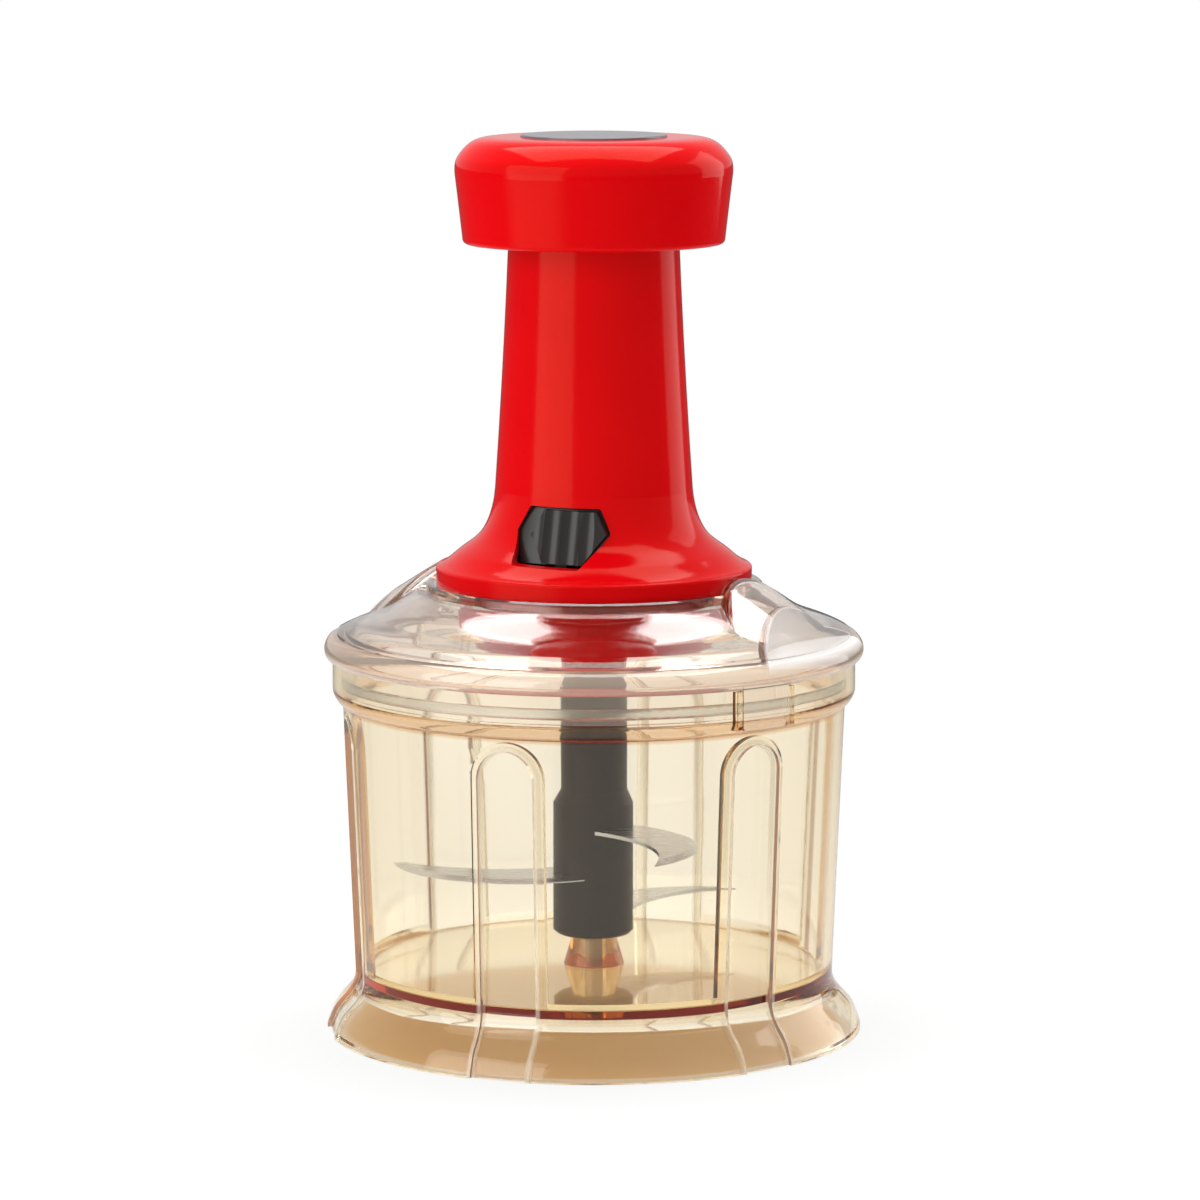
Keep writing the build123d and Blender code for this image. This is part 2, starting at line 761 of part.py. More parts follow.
with BuildPart() as housing_base:
    with BuildSketch(Plane.XZ):
        with BuildLine():
            Polyline(
                (dish_radius, dish_top),
                (dish_radius, dish_bottom + dish_corner),
                (dish_radius - dish_corner, dish_bottom),
                (stem_radius + 4.0, dish_bottom - 2.0),
                (stem_radius, dish_bottom - 5.0),
                (stem_radius, spigot_bottom),
                (0, spigot_bottom),
                (0, bearing_top),
                (bearing_radius, bearing_top),
                (bearing_radius + 2.0, dish_floor),
                (dish_radius - dish_corner - 1.0, dish_floor),
                (dish_radius - plastic_wall, dish_floor + dish_corner),
                (dish_radius - plastic_wall, dish_top),
                close=True,
            )
        make_face()
    revolve(axis=Axis.Z)
    for azimuth in lug_azimuths:
        with BuildSketch(axial_plane(azimuth - lug_span / 2)):
            with Locations((dish_radius + lug_reach / 2 - 0.5, lug_middle)):
                Rectangle(lug_reach + 1.0, lug_height)
        revolve(axis=Axis.Z, revolution_arc=lug_span)
    for azimuth in screw_azimuths:
        spot = polar(screw_circle, azimuth)
        with BuildSketch(Plane.XY.offset(dish_floor - 0.5)):
            with Locations(spot):
                Circle(screw_head_radius + 1.6)
        extrude(amount=dish_top - dish_floor + 0.5)
        with BuildSketch(Plane.XY.offset(dish_bottom - 3.0)):
            with Locations(spot):
                Circle(screw_head_radius + seat_gap)
        extrude(amount=post_head - dish_bottom + 3.0, mode=Mode.SUBTRACT)
        with BuildSketch(Plane.XY.offset(dish_bottom)):
            with Locations(spot):
                Circle(screw_radius + seat_gap)
        extrude(amount=lid_top, mode=Mode.SUBTRACT)
    with BuildSketch(Plane.XY.offset(spigot_bottom - 1.0)):
        Circle(journal_radius + running_gap)
    extrude(amount=bearing_top, mode=Mode.SUBTRACT)
    with BuildSketch(Plane.XY.offset(spigot_bottom - 1.0)):
        Circle(clip_radius + seat_gap)
    extrude(amount=clip_thickness + 3.1, mode=Mode.SUBTRACT)
housing_base.part.label = "housing_base"
export_step(housing_base.part, "parts/housing_base.step")

with BuildPart() as housing_screws:
    for azimuth in screw_azimuths:
        spot = polar(screw_circle, azimuth)
        with BuildSketch(Plane.XY.offset(post_head - screw_head_height)):
            with Locations(spot):
                Circle(screw_head_radius)
        extrude(amount=screw_head_height)
        with BuildSketch(Plane.XY.offset(post_head)):
            with Locations(spot):
                Circle(screw_radius)
        extrude(amount=screw_length)
housing_screws.part.label = "housing_screws"
export_step(housing_screws.part, "parts/housing_screws.step")

# ---- spindle ----------------------------------------------------------------
collar_base = bearing_top + washer_thickness
bar_bottom = collar_base + thrust_collar_height
clip_top = spigot_bottom + clip_thickness + 1.9
bar_turn = 360.0 / spindle_lead


def twisted_bar(width, thickness, bottom, height):
    """Flat bar twisted right-handed about Z, in phase with every other such bar."""
    with BuildSketch(Plane.XY) as flat:
        RectangleRounded(width, thickness, thickness * 0.24)
    outline = flat.sketch.face().outer_wire()
    bar = Solid.extrude_linear_with_rotation(
        outline, (0, 0, 0), (0, 0, height), bar_turn * height
    )
    return bar.rotate(Axis.Z, bar_turn * (bottom - bar_bottom)).translate((0, 0, bottom))


with BuildPart() as thrust_washer:
    with BuildSketch(Plane.XY.offset(bearing_top)):
        Circle(washer_radius)
        Circle(journal_radius + running_gap, mode=Mode.SUBTRACT)
    extrude(amount=washer_thickness)
thrust_washer.part.label = "thrust_washer"
export_step(thrust_washer.part, "parts/thrust_washer.step")

with BuildPart() as drive_spindle:
    with BuildSketch(Plane.XY.offset(collar_base)):
        Circle(thrust_collar_radius)
    extrude(amount=thrust_collar_height)
    with BuildSketch(Plane.XY.offset(spigot_bottom + 0.6)):
        Circle(journal_radius)
    extrude(amount=collar_base - spigot_bottom)
    with BuildSketch(Plane.XY.offset(stem_top - drive_depth)):
        RegularPolygon(drive_flats / 2, 6, major_radius=False)
    extrude(amount=drive_depth + 2.0)
    with BuildSketch(Plane.XY.offset(clip_top - clip_thickness)):
        Circle(journal_radius + 1.0)
        Circle(journal_radius - 0.8, mode=Mode.SUBTRACT)
    extrude(amount=clip_thickness, mode=Mode.SUBTRACT)
    add(twisted_bar(bar_width, bar_thickness, bar_bottom, bar_top - bar_bottom))
    with BuildSketch(Plane.XY.offset(bar_top)):
        Circle(pivot_radius)
    extrude(amount=-1.0)
    with BuildSketch(Plane.XY.offset(bar_top)):
        Circle(pivot_radius)
    extrude(amount=pivot_height)
drive_spindle.part.label = "drive_spindle"
export_step(drive_spindle.part, "parts/drive_spindle.step")

with BuildPart() as spindle_clip:
    with BuildSketch(Plane.XY.offset(clip_top - clip_thickness)):
        Circle(clip_radius)
        Circle(journal_radius - 0.8 + press_gap, mode=Mode.SUBTRACT)
        with Locations((0, -clip_radius)):
            Rectangle(journal_radius, 2 * clip_radius, mode=Mode.SUBTRACT)
    extrude(amount=clip_thickness)
spindle_clip.part.label = "spindle_clip"
export_step(spindle_clip.part, "parts/spindle_clip.step")

with BuildPart() as spring_seat:
    with BuildSketch(Plane.XY.offset(bar_top)):
        Circle(seat_radius)
        Circle(pivot_radius + press_gap, mode=Mode.SUBTRACT)
    extrude(amount=seat_thickness)
    with BuildSketch(Plane.XY.offset(bar_top + seat_thickness)):
        Circle(spring_radius - spring_wire / 2 - seat_gap)
        Circle(pivot_radius + press_gap, mode=Mode.SUBTRACT)
    extrude(amount=2.0)
spring_seat.part.label = "spring_seat"
export_step(spring_seat.part, "parts/spring_seat.step")

# ---- plunger ----------------------------------------------------------------
ceiling = column_top + travel + knob_ceiling_gap
tube_top = ceiling
plate_level = ceiling + knob_floor
tube_roof = tube_top - 4.4
boss_drop = 8.0
notch_width = bolt_width + 2 * notch_gap

with BuildPart() as plunger_tube:
    with BuildSketch(Plane.XY.offset(tube_bottom)):
        Circle(tube_radius)
    extrude(amount=tube_top - tube_bottom)
    with BuildSketch(Plane.XY.offset(tube_bottom)):
        Circle(rim_radius)
    extrude(amount=rim_thickness)
    rim_edges = plunger_tube.edges().filter_by(GeomType.CIRCLE).sort_by(SortBy.RADIUS)[-2:]
    fillet(rim_edges, 0.5)
    with BuildSketch(Plane.XY.offset(tube_bottom)):
        Circle(tube_bore)
    extrude(amount=tube_roof - tube_bottom, mode=Mode.SUBTRACT)
    with BuildSketch(Plane.XY.offset(tube_roof - boss_drop)):
        Circle(screw_radius + 3.4)
    extrude(amount=boss_drop + 1.0)
    with BuildSketch(Plane.XY.offset(tube_top)):
        Circle(stub_radius)
    extrude(amount=knob_floor - running_gap)
    with BuildSketch(Plane.XY.offset(tube_roof - boss_drop)):
        Circle(screw_radius + press_gap)
    extrude(amount=tube_top, mode=Mode.SUBTRACT)
    for azimuth in opposite(key_azimuth):
        with BuildSketch(radial_plane(azimuth, key_inner - seat_gap, tube_bottom)):
            Rectangle(key_width + 2 * seat_gap, 4 * rim_thickness)
        extrude(amount=rim_radius, mode=Mode.SUBTRACT)
    with BuildSketch(radial_plane(lock_azimuth, key_inner - 2 * notch_gap, tube_bottom)):
        Rectangle(notch_width, 4 * rim_thickness)
    extrude(amount=rim_radius, mode=Mode.SUBTRACT)
plunger_tube.part.label = "plunger_tube"
export_step(plunger_tube.part, "parts/plunger_tube.step")

with BuildPart() as drive_nut:
    with BuildSketch(Plane.XY.offset(tube_bottom + running_gap)):
        Circle(tube_bore - press_gap)
    extrude(amount=nut_height)
    bore_bottom = tube_bottom - 1.0
    add(
        twisted_bar(bar_width + 2 * nut_gap, bar_thickness + 2 * nut_gap, bore_bottom, nut_height + 2.0),
        mode=Mode.SUBTRACT,
    )
drive_nut.part.label = "drive_nut"
export_step(drive_nut.part, "parts/drive_nut.step")

spring_low = bar_top + seat_thickness + 0.1
spring_high = tube_roof - 0.1
spring_span = spring_high - spring_low - spring_wire

with BuildPart() as return_spring:
    with BuildLine(Plane.XY.offset(spring_low + spring_wire / 2)) as coil:
        Helix(pitch=spring_span / spring_turns, height=spring_span, radius=spring_radius)
    with BuildSketch(Plane(origin=coil.line @ 0, z_dir=coil.line % 0)):
        RegularPolygon(spring_wire / 2, 6)
    sweep(path=coil.line, is_frenet=True)
return_spring.part.label = "return_spring"
export_step(return_spring.part, "parts/return_spring.step")

# ---- knob -------------------------------------------------------------------
pocket_radius = badge_radius + running_gap

with BuildPart() as knob:
    with BuildSketch(Plane.XZ):
        with BuildLine():
            Line((0, knob_top), (knob_crown, knob_top))
            Spline(
                (knob_crown, knob_top),
                (knob_radius - 4.3, knob_top - 1.6),
                (knob_radius - 1.2, knob_top - 4.8),
                (knob_radius, knob_waist),
                tangents=((1, -0.03), (-0.05, -1)),
            )
            Line((knob_radius, knob_waist), (knob_radius_low, knob_bottom + knob_lip))
            ThreePointArc(
                (knob_radius_low, knob_bottom + knob_lip),
                (knob_radius_low - 0.3 * knob_lip, knob_bottom + 0.3 * knob_lip),
                (knob_radius_low - knob_lip, knob_bottom),
            )
            Polyline(
                (knob_radius_low - knob_lip, knob_bottom),
                (knob_inner, knob_bottom),
                (knob_inner - 0.6, ceiling - 2.0),
                (knob_inner - 2.6, ceiling),
                (0, ceiling),
                (0, knob_top),
            )
        make_face()
    revolve(axis=Axis.Z)
    with BuildSketch(Plane.XY.offset(plate_level)):
        Circle(pocket_radius)
    extrude(amount=knob_top, mode=Mode.SUBTRACT)
    with BuildSketch(Plane.XY.offset(ceiling - 1.0)):
        Circle(stub_radius + running_gap)
    extrude(amount=knob_top, mode=Mode.SUBTRACT)
    for number in range(knob_rib_count):
        rib_middle = (knob_bottom + knob_rib_start + ceiling) / 2
        azimuth = 360.0 / knob_rib_count * (number + 0.5)
        with BuildSketch(radial_plane(azimuth, knob_rib_inner, rib_middle)):
            Rectangle(knob_rib_width, ceiling - knob_bottom - knob_rib_start + 1.0)
        extrude(amount=knob_inner - knob_rib_inner + 0.4)
knob.part.label = "knob"
export_step(knob.part, "parts/knob.step")

with BuildPart() as knob_washer:
    with BuildSketch(Plane.XY.offset(plate_level)):
        Circle(stub_radius + 3.0)
        Circle(screw_radius + running_gap, mode=Mode.SUBTRACT)
    extrude(amount=knob_washer_thickness)
knob_washer.part.label = "knob_washer"
export_step(knob_washer.part, "parts/knob_washer.step")

with BuildPart() as knob_screw:
    with BuildSketch(Plane.XY.offset(plate_level + knob_washer_thickness)):
        Circle(screw_head_radius)
    extrude(amount=knob_screw_head)
    with BuildSketch(Plane.XY.offset(plate_level + knob_washer_thickness)):
        Circle(screw_radius)
    extrude(amount=-screw_length)
knob_screw.part.label = "knob_screw"
export_step(knob_screw.part, "parts/knob_screw.step")

with BuildPart() as knob_badge:
    with BuildSketch(Plane.XY.offset(plate_level)):
        Circle(badge_radius)
    extrude(amount=badge_top - plate_level)
    with BuildSketch(Plane.XY.offset(plate_level)):
        Circle(badge_radius - 2.0)
    extrude(amount=badge_top - plate_level - badge_plate, mode=Mode.SUBTRACT)
    fillet(knob_badge.edges().group_by(Axis.Z)[-1], badge_edge)
knob_badge.part.label = "knob_badge"
export_step(knob_badge.part, "parts/knob_badge.step")

# ---- lock slider ------------------------------------------------------------
with BuildPart() as grip_block:
    with BuildSketch(radial_plane(lock_azimuth, key_inner, lock_height)):
        with BuildLine():
            Polyline(*grip_outline, close=True)
        make_face()
    extrude(amount=flange_radius / 2)
    with BuildSketch(Plane.XZ):
        with BuildLine():
            Polyline(
                (plate_radius(plate_top) - 0.4, plate_top),
                (plate_radius(plate_bottom) - 0.4, plate_bottom),
                (plate_radius(plate_bottom) + grip_rise, plate_bottom),
                (plate_radius(lock_height) + grip_rise + grip_crown, lock_height),
                (plate_radius(plate_top) + grip_rise, plate_top),
                close=True,
            )
        make_face()
    revolve(axis=Axis.Z, mode=Mode.INTERSECT)
    # scoops between the ridges, and a slope down to each end
    face_radius = plate_radius(lock_height) + grip_rise + grip_crown
    face = radial_plane(lock_azimuth, face_radius + scoop_radius - scoop_sink, lock_height)
    for place in (-1.5, -0.5, 0.5, 1.5):
        lean = Plane(
            origin=face.from_local_coords((ridge_centre + ridge_spacing * place, 0, 0)),
            z_dir=Vector(0, 0, 1) - face.z_dir * plate_slope,
        )
        with BuildSketch(lean):
            Circle(scoop_radius)
        extrude(amount=2 * plate_top, both=True, mode=Mode.SUBTRACT)

with BuildPart() as lock_button:
    with BuildSketch(axial_plane(lock_azimuth - plate_left)):
        with BuildLine():
            Polyline(
                (plate_radius(plate_bottom), plate_bottom),
                (plate_radius(plate_top), plate_top),
                (plate_radius(plate_top) - plate_thickness, plate_top),
                (plate_radius(plate_bottom) - plate_thickness, plate_bottom),
                close=True,
            )
        make_face()
    revolve(axis=Axis.Z, revolution_arc=plate_left + plate_right)
    add(grip_block.part)
lock_button.part.label = "lock_button"
export_step(lock_button.part, "parts/lock_button.step")

bolt_low = tube_bottom + rim_thickness - travel + notch_gap

with BuildPart() as lock_bolt:
    with BuildSketch(axial_plane(lock_azimuth)):
        with BuildLine():
            arm_top = plate_bottom + bolt_rise
            arm = plate_radius(plate_bottom) - plate_thickness - press_gap
            Polyline(
                (key_inner - bolt_foot, bolt_low),
                (arm, bolt_low),
                (arm, plate_bottom),
                (plate_radius(arm_top) - plate_thickness - press_gap, arm_top),
                (plate_radius(arm_top) - plate_thickness - bolt_thickness * 0.6, arm_top),
                (arm - bolt_thickness, plate_bottom),
                (arm - bolt_thickness, bolt_low + bolt_thickness),
                (key_inner - bolt_foot, bolt_low + bolt_thickness),
                close=True,
            )
        make_face()
    extrude(amount=bolt_width / 2, both=True)
lock_bolt.part.label = "lock_bolt"
export_step(lock_bolt.part, "parts/lock_bolt.step")
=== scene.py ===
import math

import bpy
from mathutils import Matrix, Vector


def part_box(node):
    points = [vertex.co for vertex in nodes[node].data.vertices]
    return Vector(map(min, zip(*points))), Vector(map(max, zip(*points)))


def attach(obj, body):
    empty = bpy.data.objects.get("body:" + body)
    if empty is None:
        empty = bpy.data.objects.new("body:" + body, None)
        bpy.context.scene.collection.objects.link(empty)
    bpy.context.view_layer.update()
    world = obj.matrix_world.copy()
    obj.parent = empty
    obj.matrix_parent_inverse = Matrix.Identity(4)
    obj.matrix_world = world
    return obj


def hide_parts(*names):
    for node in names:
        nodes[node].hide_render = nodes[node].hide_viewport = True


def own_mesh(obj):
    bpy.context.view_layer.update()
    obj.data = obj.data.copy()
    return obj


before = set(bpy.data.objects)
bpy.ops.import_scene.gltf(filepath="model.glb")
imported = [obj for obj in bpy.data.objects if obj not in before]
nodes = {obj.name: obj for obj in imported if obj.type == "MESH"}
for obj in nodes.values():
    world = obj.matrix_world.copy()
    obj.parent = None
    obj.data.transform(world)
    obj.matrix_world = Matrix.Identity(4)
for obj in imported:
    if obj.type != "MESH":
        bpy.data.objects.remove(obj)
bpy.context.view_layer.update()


# ---------------------------------------------------------------- camera and table
# A small product studio: a white sweep to stand on and a white room round it. The room
# fills the shade softly, and shows as white behind the piece and through its clear plastic.

camera_pitch = 8.14
camera = bpy.data.objects.new("camera", bpy.data.cameras.new("camera"))
camera.data.sensor_width = 36
camera.data.lens = 155.2
camera.data.clip_start = 0.05
camera.data.clip_end = 20
camera.location = (0.0017, -1.4277, 0.3247)
camera.rotation_euler = (math.radians(90 - camera_pitch), 0, 0)
scene = bpy.context.scene
scene.collection.objects.link(camera)
scene.camera = camera
scene.view_settings.view_transform = "Standard"

# light crosses up to a dozen clear walls, each with two faces
clear_bounces = 32
scene.cycles.max_bounces = clear_bounces
scene.cycles.transmission_bounces = clear_bounces
scene.cycles.glossy_bounces = clear_bounces


class Socket:
    """A number that changes over a surface; arithmetic on it adds Math nodes to its finish."""

    def __init__(self, finish, source):
        self.finish = finish
        self.source = source

    def __add__(self, other):
        return self.finish.math("ADD", self, other)

    def __radd__(self, other):
        return self.finish.math("ADD", other, self)

    def __sub__(self, other):
        return self.finish.math("SUBTRACT", self, other)

    def __rsub__(self, other):
        return self.finish.math("SUBTRACT", other, self)

    def __mul__(self, other):
        return self.finish.math("MULTIPLY", self, other)

    def __rmul__(self, other):
        return self.finish.math("MULTIPLY", other, self)


class Finish:
    """The nodes of one surface. node() adds any of them: settings first, then sockets."""

    def __init__(self, owner):
        owner.use_nodes = True
        self.owner = owner
        self.tree = owner.node_tree
        self.tree.nodes.clear()

    def node(self, kind, settings=None, sockets=None, output=0):
        made = self.tree.nodes.new(kind)
        for name, value in (settings or {}).items():
            setattr(made, name, value)
        for name, value in (sockets or {}).items():
            if isinstance(value, Socket):
                self.tree.links.new(value.source, made.inputs[name])
            else:
                made.inputs[name].default_value = value
        if not made.outputs:
            return made
        return Socket(self, made.outputs[output])

    def math(self, operation, first, second=0.0):
        return self.node("ShaderNodeMath", {"operation": operation}, {0: first, 1: second})

    def vector(self, operation, first, second=(0, 0, 0), output=0):
        sockets = {0: first, 1: second}
        return self.node("ShaderNodeVectorMath", {"operation": operation}, sockets, output)

    def mix(self, share, first, second):
        """Mixes two colours by a share."""
        sockets = {"Factor": share, 6: first, 7: second}
        return self.node("ShaderNodeMix", {"data_type": "RGBA"}, sockets, output=2)

    def spread(self, value, low, high, at_low=0.0, at_high=1.0):
        """Runs evenly from at_low to at_high while the value goes from low to high."""
        sockets = {"Value": value, "From Min": low, "From Max": high}
        sockets.update({"To Min": at_low, "To Max": at_high})
        return self.node("ShaderNodeMapRange", None, sockets)

    def band(self, value, rise, fall):
        """1 between two ramps of the value and 0 outside them; a ramp is a start and an end."""
        return self.spread(value, *rise) * self.spread(value, *fall, 1.0, 0.0)

    def place(self):
        return self.node("ShaderNodeTexCoord", output="Object")

    def along(self, axis):
        """How far along an axis each point lies."""
        return self.node("ShaderNodeSeparateXYZ", None, {"Vector": self.place()}, axis)

    def distance(self, point, flat=(1, 1, 1)):
        """Distance from a point, in the directions that flat keeps."""
        offset = self.vector("SUBTRACT", self.place(), point)
        kept = self.vector("MULTIPLY", offset, flat)
        return self.vector("LENGTH", kept, output="Value")

    def stretched(self, factors):
        """The place on the part, with each direction stretched by its own factor."""
        return self.vector("MULTIPLY", self.place(), factors)

    def noise(self, scale, detail, where=None):
        sockets = {"Vector": where or self.place(), "Scale": scale, "Detail": detail}
        return self.node("ShaderNodeTexNoise", None, sockets)

    def sight(self):
        """Shares of the rays that come from the camera, through clear walls and off gloss."""
        bare = self.node("ShaderNodeLightPath", output="Is Camera Ray")
        clear = self.node("ShaderNodeLightPath", output="Is Transmission Ray")
        shiny = self.node("ShaderNodeLightPath", output="Is Glossy Ray")
        return bare, clear, shiny * (1 - clear)

    def bump(self, height, strength, distance):
        sockets = {"Height": height, "Strength": strength, "Distance": distance}
        return self.node("ShaderNodeBump", None, sockets)

    def surface(self, **looks):
        """A Principled surface; the underscores in its socket names stand for spaces."""
        sockets = {name.replace("_", " "): value for name, value in looks.items()}
        return self.node("ShaderNodeBsdfPrincipled", None, sockets)

    def blend(self, share, first, second):
        """Mixes two whole surfaces by a share."""
        return self.node("ShaderNodeMixShader", None, {"Fac": share, 1: first, 2: second})

    def close(self, surface, volume=None):
        ends = {"Surface": surface}
        if volume is not None:
            ends["Volume"] = volume
        self.node("ShaderNodeOutputMaterial", None, ends)


white = (1, 1, 1, 1)
fill_level = 0.38
gloss_level = 0.55
world = bpy.data.worlds.new("studio")
scene.world = world
studio = Finish(world)
room_bare, room_clear, room_gloss = studio.sight()
room_level = fill_level + (room_bare + room_clear) * (1 - fill_level)
room_level = room_level + room_gloss * (gloss_level - fill_level)
surround = studio.node("ShaderNodeBackground", None, {"Color": white, "Strength": room_level})
studio.node("ShaderNodeOutputWorld", None, {"Surface": surround})

floor_reach = 30.0
floor_drop = 0.0002
floor_corners = ((-1, -1), (1, -1), (1, 1), (-1, 1))
floor_points = [(x * floor_reach, y * floor_reach, -floor_drop) for x, y in floor_corners]
floor_mesh = bpy.data.meshes.new("floor")
floor_mesh.from_pydata(floor_points, [], [(0, 1, 2, 3)])
floor = bpy.data.objects.new("floor", floor_mesh)
scene.collection.objects.link(floor)

sweep = Finish(bpy.data.materials.new("white_sweep"))
away = sweep.distance((0, 0, 0))
across = sweep.along("X")
ahead = 0 - sweep.along("Y")

# the sheet glows to white, and keeps the piece's shadow near it
shadow_reach, shadow_glow = (0.15, 0.6), 0.8
clear_reach, clear_glow = (0.06, 0.22), 0.3
sheet_bare, sheet_clear, sheet_gloss = sweep.sight()
bare_share = sheet_bare * sweep.spread(away, *shadow_reach, shadow_glow, 1.0)
clear_share = sheet_clear * sweep.spread(away, *clear_reach, clear_glow, 1.0)

# amber light painted on the sheet under the foot stands for the light that the foot would tint
foot_edge = (0.068, 0.0742)
pool_turn = (-0.01, 0.07)
pool_left, pool_right = (0.82, 0.5, 0.2, 1), (0.88, 0.66, 0.44, 1)
shade_amber, shade_grey = (0.68, 0.43, 0.22, 1), (0.85, 0.85, 0.85, 1)
past_foot = sweep.spread(away, *foot_edge)
amber_light = sweep.mix(sweep.spread(across, *pool_turn), pool_left, pool_right)
amber_light_pool = sweep.mix(past_foot, amber_light, white)
painted_foot_light = sweep.mix(past_foot, shade_amber, shade_grey)

# reflecting rays see a bright sector of the sheet, which stands for the left soft box
mirror_reach = (0.25, 0.9)
mirror_near, mirror_far = (0.8, 0.8, 0.8, 1), (0.1, 0.1, 0.1, 1)
streak_left, streak_right, streak_start = (-1.42, -1.18), (-0.64, -0.36), (0.3, 0.45)
streak_white = (1.7, 1.7, 1.7, 1)
sheet_bearing = sweep.math("ARCTAN2", across, ahead)
streak = sweep.band(sheet_bearing, streak_left, streak_right) * sweep.spread(away, *streak_start)
mirror_shade = sweep.mix(sweep.spread(away, *mirror_reach), mirror_near, mirror_far)
mirror_shade = sweep.mix(streak, mirror_shade, streak_white)

# under the foot the paper's colour is painted amber light and shade
paper = sweep.node("ShaderNodeBsdfDiffuse", None, {"Color": painted_foot_light})
glow_colour = sweep.mix(sheet_gloss, amber_light_pool, mirror_shade)
glow = sweep.node("ShaderNodeEmission", None, {"Color": glow_colour, "Strength": 1.0})
sweep.close(sweep.blend(bare_share + clear_share + sheet_gloss, paper, glow))
floor_mesh.materials.append(sweep.owner)


# ---------------------------------------------------------------- lamps
# One wide soft box overhead, facing straight down; a broad one at the front left; and a
# tall one behind on the right that lights the edge of the column.


def lamp(name, where, aim, width, height, brightness):
    """A soft box: a flat lamp at a place, turned towards a point, of an even brightness."""
    light = bpy.data.lights.new(name, "AREA")
    light.shape = "RECTANGLE"
    light.size = width
    light.size_y = height
    light.energy = brightness * math.pi * width * height
    box = bpy.data.objects.new(name, light)
    box.location = where
    box.rotation_euler = (Vector(aim) - Vector(where)).to_track_quat("-Z", "Y").to_euler()
    scene.collection.objects.link(box)


middle = (0, 0, 0.12)
lamp("soft_box_overhead", (0, 0.25, 1.35), (0, 0.25, 0), 1.5, 1.2, 4.0)
lamp("soft_box_left", (-1.15, -0.95, 0.55), middle, 1.5, 1.3, 2.2)
lamp("soft_box_right", (1.2, 0.62, 0.5), middle, 0.9, 1.3, 1.7)


# ---------------------------------------------------------------- bowl
# Injection-moulded clear styrene with a faint amber cast that deepens where light runs
# along the wall; only handling smears dull it. A pale surface is mixed in on the flutes' edges
# as painted light, where long paths would go dark, and a brown tint on the step under the
# collar.


def finished(name, *pieces):
    """A new material, given to the CAD pieces named."""
    material = bpy.data.materials.new(name)
    for piece in pieces:
        for place in nodes[piece].material_slots:
            place.material = material
    return Finish(material)


def depth_tint(finish, colour):
    """The tint that clear plastic gathers with its thickness."""
    depth_density = 100
    sockets = {"Color": colour, "Density": depth_density}
    return finish.node("ShaderNodeVolumeAbsorption", None, sockets)


on_plan = (1, 1, 0)
styrene_ior = 1.46
bowl = finished("clear_bowl", "bowl")
bowl_height = bowl.along("Z")
bowl_smear = bowl.noise(35, 4)

step_low, step_high, step_fade = 0.0918, 0.0962, 0.0008
step_rise = (step_low - step_fade, step_low)
step_fall = (step_high, step_high + step_fade)
step = bowl.band(bowl_height, step_rise, step_fall)
bowl_walls = bowl.surface(
    Base_Color=bowl.mix(step, white, (0.86, 0.66, 0.5, 1)),
    Roughness=0.02 + 0.03 * bowl_smear,
    IOR=styrene_ior,
    Transmission_Weight=1.0,
)

flute_azimuth, flute_pitch = math.radians(39.7), math.radians(60)
flute_top = 0.0888
arch_radius = 0.008
arch_rise = (arch_radius - 0.0010, arch_radius - 0.0004)
arch_fall = (arch_radius + 0.0008, arch_radius + 0.0014)
outer_face = (0.064, 0.0648)
edge_light_share = 0.3
bowl_bearing = bowl.math("ARCTAN2", bowl.along("X"), 0 - bowl.along("Y")) - flute_azimuth
from_axis = bowl.distance((0, 0, 0), on_plan)
off_flute = bowl.math("PINGPONG", bowl_bearing, flute_pitch / 2)
beside = from_axis * bowl.math("SINE", off_flute)
above = bowl.math("MAXIMUM", bowl_height - (flute_top - arch_radius), 0.0)
from_arch = bowl.math("SQRT", beside * beside + above * above)
flute_edge = bowl.band(from_arch, arch_rise, arch_fall) * bowl.spread(from_axis, *outer_face)
# painted light: a pale surface that brightens the flutes' edges where long paths would go dark
painted_edge_light = bowl.surface(Base_Color=(1, 0.9, 0.76, 1), Roughness=0.6)
bowl_surface = bowl.blend(flute_edge * edge_light_share, bowl_walls, painted_edge_light)
bowl.close(bowl_surface, depth_tint(bowl, (0.86, 0.64, 0.1, 1)))


# ---------------------------------------------------------------- pivot pin and bush
# A drawn steel pin pressed into the bowl's boss, and the turned brass bush that runs on
# it. Drawing leaves fine lines along the pin, and turning leaves rings round the bush.


def rgb(red, green, blue):
    """A display colour, 0 to 255, as the linear colour that shaders take."""
    linear = []
    for level in (red / 255, green / 255, blue / 255):
        linear.append(level / 12.92 if level <= 0.04045 else ((level + 0.055) / 1.055) ** 2.4)
    return (*linear, 1)


steel = finished("spindle_steel", "blade_pin", "drive_spindle")
drawn = steel.noise(900, 3, where=steel.stretched((1, 1, 0.04)))
steel.close(steel.surface(
    Base_Color=steel.mix(drawn, rgb(168, 168, 171), rgb(194, 194, 197)),
    Roughness=0.24 + 0.14 * drawn,
    Metallic=1.0,
    Normal=steel.bump(drawn, 0.12, 0.0002),
))

brass = finished("bush_brass", "stem_bush", "thrust_washer")
turned = brass.noise(1400, 3, where=brass.stretched((0.05, 0.05, 1)))
brass.close(brass.surface(
    Base_Color=brass.mix(turned, rgb(182, 144, 72), rgb(208, 170, 94)),
    Roughness=0.22 + 0.14 * turned,
    Metallic=1.0,
    Normal=brass.bump(turned, 0.15, 0.0002),
))


# ---------------------------------------------------------------- blade unit
# A dark stem moulded round three sickle blades of stamped stainless steel. The blades
# are ground across, and their outer edges are polished by the last pass of the wheel.

stem = finished("stem_brown", "blade_stem")
stem_mottle = stem.noise(80, 3)
stem_spark = stem.noise(1300, 2)
stem.close(stem.surface(
    Base_Color=stem.mix(stem_mottle, rgb(30, 17, 12), rgb(42, 27, 20)),
    Roughness=0.38 + 0.1 * stem_mottle,
    Specular_IOR_Level=0.2,
    Normal=stem.bump(stem_spark, 0.05, 0.0003),
))

